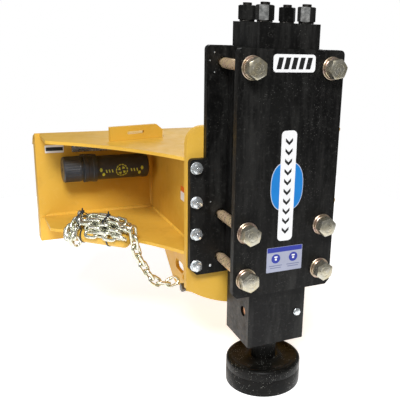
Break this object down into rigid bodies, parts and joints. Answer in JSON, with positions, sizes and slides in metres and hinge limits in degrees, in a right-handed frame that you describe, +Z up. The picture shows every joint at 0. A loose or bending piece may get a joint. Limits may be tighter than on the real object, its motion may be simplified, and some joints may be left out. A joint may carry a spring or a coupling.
{
  "type": "post driver",
  "caption": "Hydraulic hammer with a drive cup, clamped between two bolted plates on a welded quick-attach frame with a stowed safety chain and a manual canister.",
  "frame": {"origin": "middle of the attach plate's rear face, where the carrier's coupler bears", "axes": "+Z up, +Y towards the carrier, -Y the hammer's front, +X to the right seen from the front"},
  "size_m": [1.105, 0.8304, 1.1011],
  "materials": {
    "yellow_paint": "semi-gloss industrial yellow enamel, dusty, scuffed along edges",
    "black_paint": "semi-gloss black enamel with light dust",
    "gloss_black": "glossy black enamel",
    "bright_zinc": "bright zinc plate",
    "yellow_zinc": "yellow chromate zinc plate",
    "dark_steel": "ground or oiled steel",
    "bronze": "machined bronze",
    "black_plastic": "moulded black plastic",
    "data_plate": "brushed plate with no marking"
  },
  "bodies": {
    "frame": {"back_head": "black_paint", "bottom_gusset": "yellow_paint", "chain_anchor_bolt": "dark_steel", "chain_bundle": "bright_zinc", "chain_post": "yellow_paint", "cradle_bolt_bottom_left": "yellow_zinc", "cradle_bolt_bottom_right": "yellow_zinc", "cradle_bolt_middle_left": "yellow_zinc", "cradle_bolt_middle_right": "yellow_zinc", "cradle_bolt_top_left": "yellow_zinc", "cradle_bolt_top_right": "yellow_zinc", "cradle_nut_bottom_left": "yellow_zinc", "cradle_nut_bottom_right": "yellow_zinc", "cradle_nut_middle_left": "yellow_zinc", "cradle_nut_middle_right": "yellow_zinc", "cradle_nut_top_left": "yellow_zinc", "cradle_nut_top_right": "yellow_zinc", "cylinder": "black_paint", "data_plate": "data_plate", "flange_bolt_left_1": "bright_zinc", "flange_bolt_left_2": "bright_zinc", "flange_bolt_left_3": "bright_zinc", "flange_bolt_left_4": "bright_zinc", "flange_bolt_right_1": "bright_zinc", "flange_bolt_right_2": "bright_zinc", "flange_bolt_right_3": "bright_zinc", "flange_bolt_right_4": "bright_zinc", "front_cradle_plate": "black_paint", "front_head": "black_paint", "gas_valve": "dark_steel", "grease_fitting": "bright_zinc", "lower_bush": "bronze", "manual_clamp": "black_plastic", "manual_tube": "black_plastic", "mount_plate": "yellow_paint", "pin_stop_plug": "bright_zinc", "pressure_port": "bright_zinc", "quick_attach_plate": "yellow_paint", "rear_cradle_plate": "black_paint", "retaining_pin_front": "bronze", "retaining_pin_rear": "bronze", "return_port": "bright_zinc", "seal_carrier": "bronze", "side_plate_left": "yellow_paint", "side_plate_right": "yellow_paint", "strap_tab": "yellow_paint", "tie_bolt_front_left": "black_paint", "tie_bolt_front_right": "black_paint", "tie_bolt_rear_left": "black_paint", "tie_bolt_rear_right": "black_paint", "top_gusset": "yellow_paint", "upper_bush": "bronze", "zip_tie_left": "black_plastic", "zip_tie_right": "black_plastic"},
    "tool": {"tool_shank": "gloss_black", "drive_cup": "gloss_black"},
    "piston": {"piston": "dark_steel"},
    "valve_spool": {"valve_spool": "dark_steel"},
    "manual_cap": {"manual_cap": "black_plastic"},
    "hanging_chain": {"chain_run": "bright_zinc"}
  },
  "joints": [
    {"name": "tool_slide", "type": "slide", "parent": "frame", "child": "tool", "axis": [0, 0, 1], "range_m": [0, 0.05]},
    {"name": "piston_slide", "type": "slide", "parent": "frame", "child": "piston", "axis": [0, 0, 1], "range_m": [0, 0.075]},
    {"name": "spool_slide", "type": "slide", "parent": "frame", "child": "valve_spool", "axis": [0, 0, 1], "range_m": [0, 0.012]},
    {"name": "manual_cap_slide", "type": "slide", "parent": "frame", "child": "manual_cap", "axis": [-1, 0, 0], "range_m": [0, 0.07]},
    {"name": "chain_swing", "type": "hinge", "parent": "frame", "child": "hanging_chain", "pos_m": [-0.3285, -0.3637, -0.052], "axis": [0.6106, 0.016, -0.7917], "range_deg": [-40, 8]}
  ]
}
